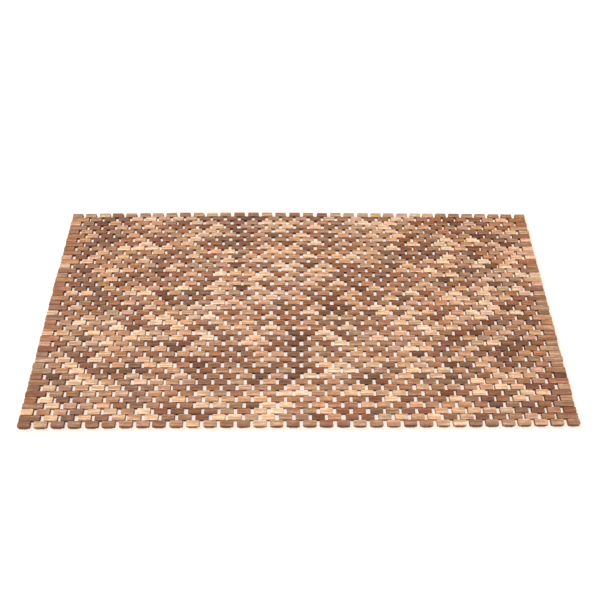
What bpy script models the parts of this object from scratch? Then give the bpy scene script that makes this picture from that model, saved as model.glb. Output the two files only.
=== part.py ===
"""Roll-up bath mat of small teak blocks laid in a brick pattern and strung on cords.

The mat lies flat on z = 0 with its long side along X. The origin is at the middle of its underside.
Forty-three rows of blocks run along X and follow each other along Y. Every row is one solid: its
blocks have the real drainage gaps between them, open from top to bottom, and a thin web along one
side of the row holds them in line, in place of the cords that string the real blocks together.
Neighbouring rows fold against each other along the upper edges of the slot between them.
"""

import bpy

# Driving dimensions, in metres
ROW_COUNT = 43              # odd, so that the first and last rows are alike
FULL_ROW_BLOCKS = 34        # blocks in the first row, and in every second row after it
BLOCK_PITCH = 0.0240        # along a row, one block and one gap
BLOCK_GAP = 0.0048          # drainage gap between two blocks of a row
ROW_PITCH = 0.0096          # across the rows, one block and one slot
ROW_SLOT = 0.0004           # slot between neighbouring rows, where the mat folds
THICKNESS = 0.0052          # of the blocks
WEB_WIDTH = 0.0008          # of the strip that closes one side of each gap

# Sizes that follow from them
BLOCK_WIDTH = ROW_PITCH - ROW_SLOT
MAT_LENGTH = FULL_ROW_BLOCKS * BLOCK_PITCH - BLOCK_GAP
CENTRE_ROW = (ROW_COUNT + 1) // 2

TEAK_COLOUR = (0.36, 0.19, 0.105, 1.0)
TEAK_ROUGHNESS = 0.55


def clear_scene():
    """Remove every object that the start-up scene holds."""
    for thing in list(bpy.data.objects):
        bpy.data.objects.remove(thing, do_unlink=True)


def new_collection(name):
    """Make a collection in the scene."""
    group = bpy.data.collections.new(name)
    bpy.context.scene.collection.children.link(group)
    return group


def teak_material():
    """Oiled teak, satin."""
    material = bpy.data.materials.new("teak")
    material.use_nodes = True
    shader = material.node_tree.nodes["Principled BSDF"]
    shader.inputs["Base Color"].default_value = TEAK_COLOUR
    shader.inputs["Roughness"].default_value = TEAK_ROUGHNESS
    shader.inputs["Metallic"].default_value = 0.0
    material.diffuse_color = TEAK_COLOUR
    return material


def gap_centres(row):
    """The places along X of a row's gaps.

    Odd rows have a gap at the middle of the mat. Even rows are shifted by half a pitch, so they have
    a block there, one gap fewer, and a longer block at each end to keep the mat's ends flush.
    """
    count = FULL_ROW_BLOCKS - 1 if row % 2 else FULL_ROW_BLOCKS - 2
    return [(index - (count - 1) / 2) * BLOCK_PITCH for index in range(count)]


def row_outline(row):
    """The comb-shaped outline of a row, about the row's own centre.

    The gaps open away from the centre of the mat, so they are open at its front and back edges.
    """
    open_side = BLOCK_WIDTH / 2 if row > CENTRE_ROW else -BLOCK_WIDTH / 2
    web_side = -open_side
    web_face = web_side - WEB_WIDTH if web_side > 0 else web_side + WEB_WIDTH
    end = MAT_LENGTH / 2
    points = [(-end, open_side)]
    for centre in gap_centres(row):
        left = centre - BLOCK_GAP / 2
        right = centre + BLOCK_GAP / 2
        points += [(left, open_side), (left, web_face), (right, web_face), (right, open_side)]
    points += [(end, open_side), (end, web_side), (-end, web_side)]
    return points


def add_row(row, axis, group, material):
    """Extrude a row's outline to the thickness of the blocks and hang it on its fold axis."""
    name = f"block_row_{row:02d}"
    outline = bpy.data.curves.new(name, "CURVE")
    outline.dimensions = "2D"
    outline.fill_mode = "BOTH"
    outline.extrude = THICKNESS / 2
    points = row_outline(row)
    spline = outline.splines.new("POLY")
    spline.points.add(len(points) - 1)
    for point, (x, y) in zip(spline.points, points):
        point.co = (x, y, 0.0, 1.0)
    spline.use_cyclic_u = True
    outline.materials.append(material)
    piece = bpy.data.objects.new(name, outline)
    group.objects.link(piece)
    piece.parent = axis
    piece.location = (0.0, ROW_PITCH / 2, -THICKNESS / 2)
    return piece


def add_axis(name, location, parent, group):
    """An empty on a fold's axis. Turning it about X lifts every row behind it."""
    axis = bpy.data.objects.new(name, None)
    axis.empty_display_type = "SINGLE_ARROW"
    axis.empty_display_size = ROW_PITCH
    group.objects.link(axis)
    axis.parent = parent
    axis.location = location
    return axis


def build_mat():
    """Lay the rows from the front edge to the back edge, each one folding on the row before it."""
    mat = new_collection("bath_mat")
    axes = new_collection("fold_axes")
    teak = teak_material()
    front_edge = -ROW_COUNT * ROW_PITCH / 2
    axis = add_axis("front_edge", (0.0, front_edge, THICKNESS), None, axes)
    for row in range(1, ROW_COUNT + 1):
        if row > 1:
            axis = add_axis(f"fold_{row - 1:02d}", (0.0, ROW_PITCH, 0.0), axis, axes)
        add_row(row, axis, mat, teak)


clear_scene()
build_mat()
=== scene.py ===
"""Looks of the roll-up teak bath mat.

Every row of the frame is shown as its real, separate blocks: sawn from many boards, so each has its
own tone and grain, with eased edges and two holes drilled through it for the cords. The cords run
from the front row to the back row inside the blocks and bend at each fold.
"""

import math

import bmesh
import bpy
import numpy as np
from mathutils import Matrix, Vector


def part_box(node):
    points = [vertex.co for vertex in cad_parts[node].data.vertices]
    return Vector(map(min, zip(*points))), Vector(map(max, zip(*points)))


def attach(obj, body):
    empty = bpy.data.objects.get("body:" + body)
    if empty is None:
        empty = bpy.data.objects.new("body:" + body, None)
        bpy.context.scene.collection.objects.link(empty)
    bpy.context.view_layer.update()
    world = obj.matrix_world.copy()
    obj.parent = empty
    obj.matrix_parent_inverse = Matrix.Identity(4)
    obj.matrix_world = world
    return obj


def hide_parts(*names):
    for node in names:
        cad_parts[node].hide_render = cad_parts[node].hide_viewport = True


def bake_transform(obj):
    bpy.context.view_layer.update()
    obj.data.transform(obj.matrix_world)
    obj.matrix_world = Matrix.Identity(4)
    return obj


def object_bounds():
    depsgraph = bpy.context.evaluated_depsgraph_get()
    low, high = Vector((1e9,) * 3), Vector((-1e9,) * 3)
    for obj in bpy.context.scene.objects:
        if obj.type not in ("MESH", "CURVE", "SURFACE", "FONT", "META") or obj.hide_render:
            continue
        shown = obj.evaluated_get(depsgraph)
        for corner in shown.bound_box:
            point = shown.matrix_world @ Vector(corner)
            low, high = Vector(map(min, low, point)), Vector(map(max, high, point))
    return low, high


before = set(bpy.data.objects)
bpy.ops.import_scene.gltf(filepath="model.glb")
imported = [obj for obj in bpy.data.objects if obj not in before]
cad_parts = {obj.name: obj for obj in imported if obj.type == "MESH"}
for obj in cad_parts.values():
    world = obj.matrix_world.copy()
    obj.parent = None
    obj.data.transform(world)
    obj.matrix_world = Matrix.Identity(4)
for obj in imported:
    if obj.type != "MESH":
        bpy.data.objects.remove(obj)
cad_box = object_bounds()

# ---------------------------------------------------------------- sizes, in metres, from the frame

ROWS = sorted(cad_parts)                      # block_row_01 is the front row
FIRST_LOW, FIRST_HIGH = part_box(ROWS[0])
SECOND_LOW, SECOND_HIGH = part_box(ROWS[1])
MAT_LENGTH = FIRST_HIGH.x - FIRST_LOW.x
BLOCK_WIDTH = FIRST_HIGH.y - FIRST_LOW.y
THICKNESS = FIRST_HIGH.z - FIRST_LOW.z
ROW_PITCH = SECOND_LOW.y - FIRST_LOW.y

FULL_ROW_BLOCKS = 34
GAP_SHARE = 0.2                                    # of a pitch
BLOCK_PITCH = MAT_LENGTH / (FULL_ROW_BLOCKS - GAP_SHARE)
BLOCK_GAP = GAP_SHARE * BLOCK_PITCH
SAWN_SHORT = 0.0005                                # the blocks come out a little shorter than drawn
BLOCK_LENGTH = BLOCK_PITCH - BLOCK_GAP - SAWN_SHORT
END_BLOCK_LENGTH = 1.5 * BLOCK_PITCH - BLOCK_GAP - SAWN_SHORT
END_TRIM = 0.0012                                  # cut off both short edges of the mat
HOLE_OFFSET = BLOCK_PITCH / 4                      # from the middle of a block

EASED_EDGE = 0.00026
ROUND_CORNER = 0.00130                             # of a block, seen from above
HOLE_RADIUS = 0.00095
CORD_RADIUS = 0.00065
HOLE_SIDES = 12
CORD_SIDES = 8

# How unlike each other the blocks are: the spread of each random amount, and the most it may be
LENGTH_SPREAD = 0.00020
WIDTH_VARIES = (0.00010, 0.0004)                   # only ever narrower
HEIGHT_VARIES = (0.00010, 0.00025)
ALONG_VARIES = (0.00045, 0.0009)                   # place of the wood about its holes
ACROSS_VARIES = (0.00004, 0.0001)
TURN_VARIES = (math.radians(0.35), 0.008)          # about the upright axis
LEAN_VARIES = (math.radians(0.45), 0.02)           # about the row's own line

BORE_ZONE = 1.2 * HOLE_RADIUS                      # points nearer mid-height than this are of a hole
END_ZONE = 0.42                                    # of a block's length: points past it are of its ends

rng = np.random.default_rng(20817)


# ---------------------------------------------------------------- blocks

def tool_object(name, mesh):
    """A mesh as an object of the scene, for a modifier to work on."""
    thing = bpy.data.objects.new(name, mesh)
    bpy.context.scene.collection.objects.link(thing)
    return thing


def drill_mesh(offsets):
    """Round bars along Y, one for each hole of a block."""
    mesh = bpy.data.meshes.new("drill")
    bars = bmesh.new()
    for offset in offsets:
        place = Matrix.Translation((offset, 0, 0)) @ Matrix.Rotation(math.pi / 2, 4, "X")
        bmesh.ops.create_cone(
            bars, cap_ends=True, segments=HOLE_SIDES, radius1=HOLE_RADIUS, radius2=HOLE_RADIUS,
            depth=BLOCK_WIDTH * 2, matrix=place)
    bars.to_mesh(mesh)
    bars.free()
    return mesh


def block_pattern(length, offsets):
    """A drilled block with eased edges, about its own middle.

    It holds the block's points and faces, which faces are rounded, and for each point how far it is
    into the rounded end, where end grain shows.
    """
    mesh = bpy.data.meshes.new("block")
    shape = bmesh.new()
    bmesh.ops.create_cube(shape, size=1.0)
    bmesh.ops.scale(shape, vec=(length, BLOCK_WIDTH, THICKNESS), verts=shape.verts)
    upright = [e for e in shape.edges if abs(e.verts[0].co.z - e.verts[1].co.z) > EASED_EDGE]
    bmesh.ops.bevel(
        shape, geom=upright, offset=ROUND_CORNER, segments=3, profile=0.5, affect="EDGES")
    rims = [e for e in shape.edges if abs(e.verts[0].co.z - e.verts[1].co.z) < EASED_EDGE]
    bmesh.ops.bevel(
        shape, geom=rims, offset=EASED_EDGE, segments=2, profile=0.5, affect="EDGES")
    shape.to_mesh(mesh)
    shape.free()
    block = tool_object("block", mesh)
    drill = tool_object("drill", drill_mesh(offsets))
    cut = block.modifiers.new("holes", "BOOLEAN")
    cut.operation = "DIFFERENCE"
    cut.solver = "EXACT"
    cut.object = drill
    bpy.context.view_layer.update()
    graph = bpy.context.evaluated_depsgraph_get()
    drilled = bpy.data.meshes.new_from_object(block.evaluated_get(graph), depsgraph=graph)
    points = np.array([v.co for v in drilled.vertices])
    faces = [list(p.vertices) for p in drilled.polygons]
    rounded = [max(abs(c) for c in p.normal) < 0.999 for p in drilled.polygons]
    for thing in (block, drill):
        bpy.data.objects.remove(thing, do_unlink=True)
    cut_end = np.clip((np.abs(points[:, 0]) - length / 2) / ROUND_CORNER + 1, 0, 1)
    return {"points": points, "faces": faces, "rounded": rounded, "cut_end": cut_end,
            "length": length, "offsets": offsets}


def row_places(row):
    """(middle, pattern) of each block of a row, from left to right.

    Odd rows hold 34 equal blocks. Even rows are shifted by half a pitch, so a longer block at each
    end keeps the short edges of the mat flush.
    """
    if row % 2:
        first = -(FULL_ROW_BLOCKS - 1) / 2 * BLOCK_PITCH
        return [(first + n * BLOCK_PITCH, ORDINARY) for n in range(FULL_ROW_BLOCKS)]
    inner = FULL_ROW_BLOCKS - 3
    first = -(inner - 1) / 2 * BLOCK_PITCH
    end = (MAT_LENGTH - END_BLOCK_LENGTH - SAWN_SHORT) / 2
    ordinary = [(first + n * BLOCK_PITCH, ORDINARY) for n in range(inner)]
    return [(-end, LONG)] + ordinary + [(end, LONG)]


# The mat was laid out by hand, so its rows and columns wander by a few millimetres: each entry is
# where the mat is pulled aside most, how far round that it is still felt, and by how much.
PULLS = (
    # x, y, reach in x, reach in y, shift in x, shift in y
    (0.08, 0.20, 0.16, 0.25, 0.0048, 0.0000),
    (0.42, -0.05, 0.13, 0.40, -0.0030, 0.0000),
    (0.42, 0.21, 0.13, 0.12, 0.0008, -0.0024),
    (0.42, -0.22, 0.14, 0.14, -0.0008, 0.0010),
    (-0.42, 0.21, 0.15, 0.15, 0.0014, -0.0026),
    (-0.42, -0.22, 0.14, 0.12, -0.0010, -0.0013),
    (-0.10, 0.10, 0.15, 0.16, -0.0012, 0.0020),
)


def wander(x, y):
    """How far the mat lies aside at a place."""
    aside = Vector((0.0, 0.0))
    for at_x, at_y, reach_x, reach_y, shift_x, shift_y in PULLS:
        felt = math.exp(-((x - at_x) / reach_x) ** 2 - ((y - at_y) / reach_y) ** 2)
        aside += felt * Vector((shift_x, shift_y))
    return aside


def squeeze(x, y):
    """How much closer than drawn the rows lie at a place."""
    return max(wander(x, y - ROW_PITCH / 2).y - wander(x, y + ROW_PITCH / 2).y, 0.0)


def row_slope(x, y):
    """The direction of a row at a place, as it wanders."""
    step = BLOCK_PITCH / 2
    return (wander(x + step, y).y - wander(x - step, y).y) / (2 * step)


# Blocks sawn from the same board were strung near each other, so neighbours are a little alike
ALIKE = (0.09, 0.08, 0.05)                         # of the spread in tone, in shade and in tint
WAVE_COUNT = 16
FINEST_WAVE = (62.0, 105.0)                        # in radians per metre, along and across the rows
WAVES = rng.uniform(-1.0, 1.0, (len(ALIKE), WAVE_COUNT, 2)) * FINEST_WAVE
PHASES = rng.uniform(0.0, 2 * math.pi, (len(ALIKE), WAVE_COUNT))


def pick_looks(x, y):
    """Three random numbers from 0 to 1 for the block at a place: its tone, its shade and its tint."""
    looks = []
    for share, waves, phases in zip(ALIKE, WAVES, PHASES):
        common = np.cos(waves @ (x, y) + phases).sum() * math.sqrt(2 / len(phases))
        own = rng.normal()
        drawn = math.sqrt(share) * common + math.sqrt(1 - share) * own
        looks.append(0.5 + 0.5 * math.erf(drawn / math.sqrt(2)))
    return np.array(looks)


# How the looks drawn for some blocks are narrowed and then shifted, in tone, shade and tint
LONG_BLOCK_PICK = ((0.56, 1.0, 1.0), (0.17, 0.0, 0.0))     # more alike
FRONT_ROW_PICK = ((0.64, 0.5, 0.8), (0.31, 0.0, 0.0))      # more alike and paler
BACK_ROW_PICK = ((0.64, 0.5, 0.8), (0.20, 0.0, 0.0))       # more alike


def block_looks(row, pattern, x, y):
    """The looks of the block at a place. Blocks at the edges of the mat are more alike."""
    looks = pick_looks(x, y)
    if pattern is LONG:
        narrowed, shift = LONG_BLOCK_PICK
    elif row == 1:
        narrowed, shift = FRONT_ROW_PICK
    elif row == len(ROWS):
        narrowed, shift = BACK_ROW_PICK
    else:
        return looks
    return looks * narrowed + shift


def random_amount(spread, most):
    return np.clip(rng.normal(0, spread), -most, most)


def place_block(pattern, x, y):
    """A block at its place, a little unlike the others: its points, and the middles of its holes."""
    points = pattern["points"].copy()
    outside = np.abs(points[:, 2]) > BORE_ZONE
    ends = outside & (np.abs(points[:, 0]) > pattern["length"] * END_ZONE)
    stretch = rng.normal(0, LENGTH_SPREAD)
    points[ends, 0] += np.sign(points[ends, 0]) * stretch / 2
    if abs(x) + pattern["length"] / 2 > MAT_LENGTH / 2 - BLOCK_GAP:
        outer = ends & (points[:, 0] * x > 0)
        points[outer, 0] -= math.copysign(END_TRIM, x)
    narrower = abs(random_amount(*WIDTH_VARIES)) + squeeze(x, y)
    points[:, 1] *= 1 - narrower / BLOCK_WIDTH
    points[:, 2] *= 1 + random_amount(*HEIGHT_VARIES) / THICKNESS
    turn = Matrix.Rotation(row_slope(x, y) + random_amount(*TURN_VARIES), 3, "Z")
    lean = Matrix.Rotation(random_amount(*LEAN_VARIES), 3, "X")
    rotation = np.array(turn @ lean).T
    # The holes stay in line with the cord, and the wood round them is off to one side
    points[outside, 0] += random_amount(*ALONG_VARIES)
    points = points @ rotation
    aside = wander(x, y)
    lift = -points[:, 2].min()
    place = np.array((x + aside.x, y + aside.y + random_amount(*ACROSS_VARIES), lift))
    holes = [np.array((offset, 0.0, 0.0)) @ rotation + place for offset in pattern["offsets"]]
    return points + place, holes


def build_row(row, node):
    """All blocks of a row as one mesh of separate closed blocks, and where its cord holes ended up."""
    low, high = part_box(node)
    middle_y = (low.y + high.y) / 2
    points, faces, smooth, inside, chance, cut_end, holes = [], [], [], [], [], [], []
    for middle_x, pattern in row_places(row):
        start = sum(len(p) for p in points)
        block_points, block_holes = place_block(pattern, middle_x, middle_y)
        points.append(block_points)
        holes += block_holes
        faces += [[start + corner for corner in face] for face in pattern["faces"]]
        smooth += pattern["rounded"]
        inside.append(pattern["points"])
        cut_end.append(pattern["cut_end"])
        looks = block_looks(row, pattern, middle_x, middle_y)
        chance.append(np.tile(looks, (len(block_points), 1)))
    name = node.replace("block_row", "teak_row")
    mesh = bpy.data.meshes.new(name)
    mesh.from_pydata(np.concatenate(points).tolist(), [], faces)
    mesh.polygons.foreach_set("use_smooth", smooth)
    for title, values in (("inside", inside), ("chance", chance)):
        layer = mesh.attributes.new(title, "FLOAT_VECTOR", "POINT")
        layer.data.foreach_set("vector", np.concatenate(values).astype(np.float32).ravel())
    layer = mesh.attributes.new("cut_end", "FLOAT", "POINT")
    layer.data.foreach_set("value", np.concatenate(cut_end).astype(np.float32))
    mesh.update()
    piece = bpy.data.objects.new(name, mesh)
    bpy.context.scene.collection.objects.link(piece)
    return piece, np.array(holes)


# ---------------------------------------------------------------- cords

def tube(path, sides=CORD_SIDES, radius=CORD_RADIUS):
    """Points and faces of a closed round tube along a path."""
    path = np.array(path, float)
    ahead = np.gradient(path, axis=0)
    ahead /= np.linalg.norm(ahead, axis=1)[:, None]
    side = np.cross(ahead, (0.0, 0.0, 1.0))
    side /= np.linalg.norm(side, axis=1)[:, None]
    up = np.cross(side, ahead)
    angle = np.arange(sides) * 2 * math.pi / sides
    ring = (np.cos(angle)[None, :, None] * side[:, None, :]
            + np.sin(angle)[None, :, None] * up[:, None, :])
    points = (path[:, None, :] + radius * ring).reshape(-1, 3)
    faces = []
    for ring_start in range(0, (len(path) - 1) * sides, sides):
        for n in range(sides):
            m = (n + 1) % sides
            next_start = ring_start + sides
            faces.append([ring_start + m, ring_start + n, next_start + n, next_start + m])
    last = (len(path) - 1) * sides
    faces.append(list(range(sides)))
    faces.append([last + n for n in reversed(range(sides))])
    return points, faces


def cord_mesh(name, paths):
    """One piece made of many short lengths of cord."""
    points, faces = [], []
    for path in paths:
        start = sum(len(p) for p in points)
        new_points, new_faces = tube(path)
        points.append(new_points)
        faces += [[start + corner for corner in face] for face in new_faces]
    mesh = bpy.data.meshes.new(name)
    mesh.from_pydata(np.concatenate(points).tolist(), [], faces)
    mesh.shade_smooth()
    mesh.update()
    piece = bpy.data.objects.new(name, mesh)
    bpy.context.scene.collection.objects.link(piece)
    return piece


# Places along a fold, as shares of half a row's pitch from the slot, where a cord's line has a point
FOLD_STEPS = (-0.99, -0.30, -0.18, -0.10, -0.04, 0.0, 0.04, 0.10, 0.18, 0.30, 0.99)
CROSSING = 12                                      # how sharply a cord goes over to the next hole


def fold_cords(number, near_holes, far_holes):
    """The lengths of all cords from the middle of one row to the middle of the next."""
    paths = []
    for near, far in zip(near_holes, far_holes):
        path = []
        for share in FOLD_STEPS:
            across = 0.5 + 0.5 * math.tanh(share * CROSSING)
            point = near * (1 - across) + far * across
            point[1] = (near[1] + far[1]) / 2 + share * (far[1] - near[1]) / 2
            path.append(point)
        paths.append(path)
    return cord_mesh(f"cords_fold_{number:02d}", paths)


LOOP_BEND = 0.0011                                 # radius of the cord's two bends
LOOP_PROUD = 0.55 * CORD_RADIUS                    # of the cord's middle: it is pressed into the wood
LOOP_START = 0.02 * BLOCK_WIDTH                    # from the block's middle
BEND_STEPS = 5


def edge_loops(name, holes, side):
    """At the outer face of an end row two cords are one, which goes from hole to hole of a block."""
    out = BLOCK_WIDTH / 2 + LOOP_PROUD
    quarter = [step * math.pi / 2 / BEND_STEPS for step in range(1, BEND_STEPS + 1)]
    bends = [(LOOP_BEND * (1 - math.cos(angle)), side * (out - LOOP_BEND * (1 - math.sin(angle))))
             for angle in quarter]
    straight = [np.array((0, side * LOOP_START, 0)), np.array((0, side * (out - LOOP_BEND), 0))]
    paths = []
    for left, right in zip(holes[0::2], holes[1::2]):
        path = [left + step for step in straight]
        path += [left + np.array((along, outward, 0)) for along, outward in bends]
        path += [right + np.array((-along, outward, 0)) for along, outward in reversed(bends)]
        path += [right + step for step in reversed(straight)]
        paths.append(path)
    return cord_mesh(name, paths)


# ---------------------------------------------------------------- materials

class Nodes:
    """A short way to write a material's node tree."""

    def __init__(self, name):
        self.material = bpy.data.materials.new(name)
        self.material.use_nodes = True
        self.tree = self.material.node_tree
        self.shader = self.tree.nodes["Principled BSDF"]

    def add(self, kind, values=None, **settings):
        node = self.tree.nodes.new(kind)
        for key, value in settings.items():
            setattr(node, key, value)
        for key, value in (values or {}).items():
            if isinstance(value, bpy.types.NodeSocket):
                self.tree.links.new(value, node.inputs[key])
            else:
                node.inputs[key].default_value = value
        return node

    def attribute(self, name):
        return self.add("ShaderNodeAttribute", attribute_name=name)

    def math(self, operation, *values, clamp=False):
        node = self.add("ShaderNodeMath", dict(enumerate(values)), operation=operation, use_clamp=clamp)
        return node.outputs[0]

    def vector(self, operation, *values):
        node = self.add("ShaderNodeVectorMath", dict(enumerate(values)), operation=operation)
        return node.outputs[0]

    def noise(self, at, detail=2.0, roughness=0.5, **more):
        node = self.add("ShaderNodeTexNoise", {
            "Vector": at, "Scale": 1.0, "Detail": detail, "Roughness": roughness, **more})
        return node.outputs["Fac"]

    def span(self, value, low, high, to_low, to_high):
        node = self.add("ShaderNodeMapRange", {
            "Value": value, "From Min": low, "From Max": high, "To Min": to_low, "To Max": to_high})
        return node.outputs["Result"]

    def ramp(self, value, stops, interpolation="LINEAR"):
        node = self.add("ShaderNodeValToRGB", {"Fac": value})
        node.color_ramp.interpolation = interpolation
        elements = node.color_ramp.elements
        while len(elements) < len(stops):
            elements.new(0.5)
        for element, (place, colour) in zip(elements, stops):
            element.position = place
            element.color = (*colour, 1.0)
        return node.outputs["Color"]

    def mix(self, share, one, other, blend="MIX"):
        node = self.add("ShaderNodeMix", data_type="RGBA", blend_type=blend)
        for socket, value in ((node.inputs[0], share), (node.inputs[6], one), (node.inputs[7], other)):
            if isinstance(value, bpy.types.NodeSocket):
                self.tree.links.new(value, socket)
            else:
                socket.default_value = value
        return node.outputs[2]


# Tones of the boards that the blocks are sawn from, darkest first, with the share of blocks that are
# darker. Most are mid brown heartwood, and about a third are pale sapwood.
TONES = (
    (0.00, (0.160, 0.060, 0.029)),
    (0.06, (0.220, 0.093, 0.049)),
    (0.25, (0.300, 0.136, 0.073)),
    (0.46, (0.382, 0.186, 0.104)),
    (0.60, (0.460, 0.242, 0.139)),
    (0.71, (0.550, 0.305, 0.184)),
    (0.82, (0.640, 0.372, 0.229)),
    (0.91, (0.735, 0.455, 0.284)),
    (1.00, (0.800, 0.540, 0.360)),
)
PALER = (1.070, 1.155, 1.208)                      # lifts every tone, and makes it less red
FULL_TURN = 6.283                                  # radians


def teak():
    """Oiled teak with its grain along X.

    Each block takes its tone and its place in the board from three random numbers in the attribute
    "chance"; "inside" is the place within the block, and "cut_end" is 1 where end grain shows.
    """
    n = Nodes("teak_blocks")
    chance = n.attribute("chance").outputs["Vector"]
    inside = n.attribute("inside").outputs["Vector"]
    parts = n.add("ShaderNodeSeparateXYZ", {0: chance})
    tone, shade, turn = parts.outputs
    board = n.add("ShaderNodeVectorMath", {0: chance, "Scale": 3.7}, operation="SCALE").outputs[0]
    board = n.vector("ADD", inside, board)
    turned = n.add("ShaderNodeVectorRotate", {
        "Vector": board, "Axis": (1, 0, 0), "Angle": n.math("MULTIPLY", turn, FULL_TURN)},
        rotation_type="AXIS_ANGLE")
    board = turned.outputs[0]

    def along(x, y, z):
        return n.vector("MULTIPLY", board, (x, y, z))

    bands = n.noise(along(25, 330, 330), detail=2, roughness=0.55)
    mottle = n.noise(along(170, 330, 330), detail=1)
    streaks = n.noise(along(70, 1500, 1500), detail=3, roughness=0.6)
    fibres = n.noise(along(240, 7000, 7000), detail=2, roughness=0.5)
    rings = n.add("ShaderNodeTexWave", {
        "Vector": along(12, 150, 150), "Scale": 1.0, "Distortion": 3.5, "Detail": 2.0,
        "Detail Scale": 1.2, "Detail Roughness": 0.5}, wave_type="BANDS", bands_direction="Y",
        wave_profile="SIN").outputs["Fac"]

    base = n.ramp(tone, [(place, tuple(np.multiply(colour, PALER))) for place, colour in TONES])
    reach = n.span(tone, 0.0, 1.0, 0.90, 0.34)

    def lean(chance_value, one, other):
        share = n.math("MULTIPLY_ADD", n.math("SUBTRACT", chance_value, 0.5), reach, 0.5)
        return n.mix(share, (*one, 1), (*other, 1))

    tint = n.math("FRACT", n.math("MULTIPLY", turn, 17.0))
    base = n.mix(1.0, base, lean(shade, (0.87, 1.03, 1.24), (1.13, 0.96, 0.78)), "MULTIPLY")
    base = n.mix(1.0, base, lean(tint, (1.02, 0.92, 1.03), (0.98, 1.08, 0.96)), "MULTIPLY")

    dark = n.mix(1.0, base, (0.62, 0.53, 0.45, 1), "MULTIPLY")
    light = n.mix(1.0, base, (1.25, 1.27, 1.27, 1), "MULTIPLY")
    colour = n.mix(n.span(bands, 0.38, 0.62, -0.1, 1.1), dark, light)
    colour = n.mix(n.span(mottle, 0.38, 0.62, 0.55, 0.0), colour, dark)
    colour = n.mix(n.span(rings, 0.55, 1.0, 0.0, 0.35), colour, dark)
    colour = n.mix(n.span(streaks, 0.53, 0.70, 0.0, 0.75), colour, dark)
    pores = n.span(fibres, 0.60, 0.70, 0.0, 0.55)
    colour = n.mix(pores, colour, n.mix(1.0, base, (0.35, 0.28, 0.24, 1), "MULTIPLY"))

    # Painted shade: the upright sides are darker and more saturated than the planed top, standing in
    # for the shade they get under the overhead light
    height = n.add("ShaderNodeSeparateXYZ", {0: n.vector("ABSOLUTE", inside)}).outputs[2]
    side = n.span(height, THICKNESS / 2 - EASED_EDGE, THICKNESS / 2 - 0.3 * EASED_EDGE, 1.0, 0.0)
    colour = n.mix(side, colour, n.mix(1.0, colour, (1.06, 0.79, 0.53, 1), "MULTIPLY"))
    # The end faces are darker still: partly their end grain, and partly painted shade like the sides
    end = n.math("MULTIPLY", side, n.attribute("cut_end").outputs["Fac"])
    colour = n.mix(end, colour, n.mix(1.0, colour, (0.60, 0.56, 0.54, 1), "MULTIPLY"))
    n.tree.links.new(colour, n.shader.inputs["Base Color"])

    rough = n.span(streaks, 0.3, 0.7, 0.46, 0.62)
    n.tree.links.new(rough, n.shader.inputs["Roughness"])
    relief = n.math("ADD", n.math("MULTIPLY", fibres, -0.6), n.math("MULTIPLY", streaks, -0.8))
    bump = n.add("ShaderNodeBump", {"Height": relief, "Strength": 0.35, "Distance": 0.00012})
    n.tree.links.new(bump.outputs[0], n.shader.inputs["Normal"])
    n.shader.inputs["Specular IOR Level"].default_value = 0.15
    return n.material


def nylon_cord():
    """Brown nylon cord, laid in strands."""
    n = Nodes("cord")
    at = n.add("ShaderNodeTexCoord").outputs["Object"]
    strands = n.add("ShaderNodeTexWave", {
        "Vector": n.vector("MULTIPLY", at, (900, 1500, 900)), "Scale": 1.0, "Distortion": 0.4},
        wave_type="BANDS", bands_direction="DIAGONAL").outputs["Fac"]
    colour = n.ramp(strands, (
        (0.0, (0.055, 0.033, 0.020)), (0.6, (0.140, 0.088, 0.054)), (1.0, (0.20, 0.135, 0.085))))
    n.tree.links.new(colour, n.shader.inputs["Base Color"])
    n.tree.links.new(n.span(strands, 0, 1, 0.7, 0.5), n.shader.inputs["Roughness"])
    bump = n.add("ShaderNodeBump", {"Height": strands, "Strength": 0.5, "Distance": 0.0001})
    n.tree.links.new(bump.outputs[0], n.shader.inputs["Normal"])
    return n.material


def pale_floor():
    """A plain, pale and slightly warm studio floor."""
    n = Nodes("studio_floor")
    at = n.add("ShaderNodeTexCoord").outputs["Object"]
    cloud = n.noise(n.vector("MULTIPLY", at, (2, 2, 2)), detail=2)
    colour = n.ramp(cloud, ((0.0, (0.967, 0.858, 0.778)), (1.0, (0.972, 0.863, 0.783))))
    n.tree.links.new(colour, n.shader.inputs["Base Color"])
    n.shader.inputs["Roughness"].default_value = 0.9
    n.shader.inputs["Specular IOR Level"].default_value = 0.1
    return n.material


# ---------------------------------------------------------------- studio

FLOOR_REACH = 40.0
FLOOR_DROP = 0.00002                               # keeps the floor just clear of the blocks

CEILING_LEVEL = 0.08                               # of the walls' level, which is 1
OVERHEAD_LEVEL = 0.88                              # of a sun: what it adds to a white floor
KEY_LEVEL = 0.30
WALL_TOP = (0.28, 0.40)                            # sine of the height where walls fade to ceiling


def build_floor():
    mesh = bpy.data.meshes.new("studio_floor")
    shape = bmesh.new()
    bmesh.ops.create_grid(shape, x_segments=8, y_segments=8, size=FLOOR_REACH)
    shape.to_mesh(mesh)
    shape.free()
    floor = tool_object("studio_floor", mesh)
    floor.location.z = cad_box[0].z - FLOOR_DROP
    mesh.materials.append(pale_floor())


def add_soft_sun(name, azimuth, height, spread, level):
    """Even light from one part of the sky. The level is what it adds to a white floor."""
    light = bpy.data.lights.new(name, "SUN")
    light.angle = spread
    light.energy = math.pi * level / math.sin(height)
    sun = bpy.data.objects.new(name, light)
    bpy.context.scene.collection.objects.link(sun)
    sun.rotation_euler = (math.pi / 2 - height, 0.0, azimuth)


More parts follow.
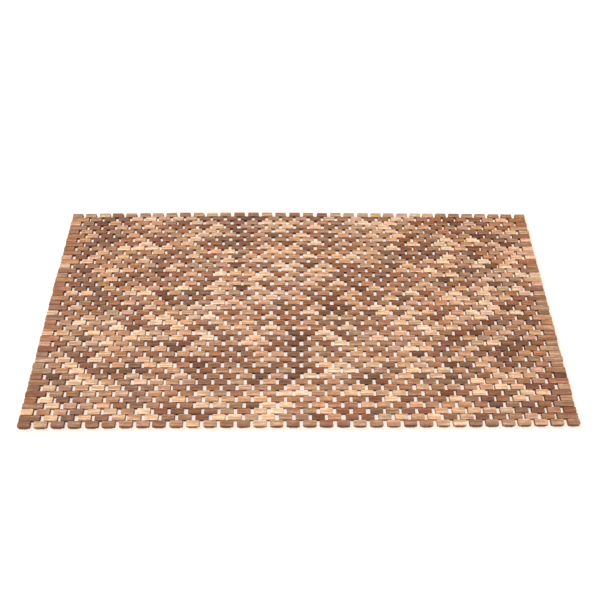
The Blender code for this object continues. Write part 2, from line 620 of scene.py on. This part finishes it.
def build_lights():
    """White studio walls all round, a dimmer ceiling, and two soft lights."""
    world = bpy.data.worlds.new("studio")
    bpy.context.scene.world = world
    world.use_nodes = True
    nodes, links = world.node_tree.nodes, world.node_tree.links
    nodes["Background"].inputs["Color"].default_value = (1.0, 1.0, 1.0, 1.0)
    direction = nodes.new("ShaderNodeTexCoord")
    height = nodes.new("ShaderNodeSeparateXYZ")
    walls = nodes.new("ShaderNodeMapRange")
    walls.inputs["From Min"].default_value = WALL_TOP[0]
    walls.inputs["From Max"].default_value = WALL_TOP[1]
    walls.inputs["To Min"].default_value = 1.0
    walls.inputs["To Max"].default_value = CEILING_LEVEL
    links.new(direction.outputs["Generated"], height.inputs[0])
    links.new(height.outputs["Z"], walls.inputs["Value"])
    links.new(walls.outputs["Result"], nodes["Background"].inputs["Strength"])
    add_soft_sun("overhead", math.radians(-150), math.radians(87), math.radians(24), OVERHEAD_LEVEL)
    add_soft_sun("key", math.radians(-135), math.radians(28), math.radians(36), KEY_LEVEL)


# The camera looks down at the mat from in front of it
CAMERA_PLACE = (-0.0152, -0.6094, 0.8788)
CAMERA_PITCH = math.radians(54.455)
CAMERA_YAW = math.radians(1.325)
CAMERA_ROLL = math.radians(1.076)
CAMERA_LENS_MM = 39.69
SENSOR_MM = 36.0


def build_camera():
    data = bpy.data.cameras.new("camera")
    data.sensor_width = SENSOR_MM
    data.lens = CAMERA_LENS_MM
    data.clip_start = 0.01
    camera = bpy.data.objects.new("camera", data)
    bpy.context.scene.collection.objects.link(camera)
    level = Matrix.Rotation(math.pi / 2 - CAMERA_PITCH, 4, "X")
    camera.matrix_world = (
        Matrix.Translation(CAMERA_PLACE) @ Matrix.Rotation(-CAMERA_YAW, 4, "Z")
        @ level @ Matrix.Rotation(CAMERA_ROLL, 4, "Z"))
    bpy.context.scene.camera = camera


# ---------------------------------------------------------------- assembly

ORDINARY = block_pattern(BLOCK_LENGTH, (-HOLE_OFFSET, HOLE_OFFSET))
LONG = block_pattern(END_BLOCK_LENGTH, (-2 * HOLE_OFFSET, 0.0, 2 * HOLE_OFFSET))


def build_mat():
    wood, cord = teak(), nylon_cord()
    holes_of = []
    for row, node in enumerate(ROWS, start=1):
        piece, holes = build_row(row, node)
        piece.data.materials.append(wood)
        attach(piece, f"row_{row:02d}")
        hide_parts(node)
        holes_of.append(holes)
    for number, (near, far) in enumerate(zip(holes_of, holes_of[1:]), start=1):
        piece = fold_cords(number, near, far)
        piece.data.materials.append(cord)
        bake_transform(piece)
    for name, holes, body, side in (("cord_loops_front", holes_of[0], "row_01", -1),
                                    ("cord_loops_back", holes_of[-1], f"row_{len(ROWS):02d}", 1)):
        piece = edge_loops(name, holes, side)
        piece.data.materials.append(cord)
        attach(piece, body)


bpy.context.scene.view_settings.view_transform = "Standard"
build_mat()
build_floor()
build_lights()
build_camera()
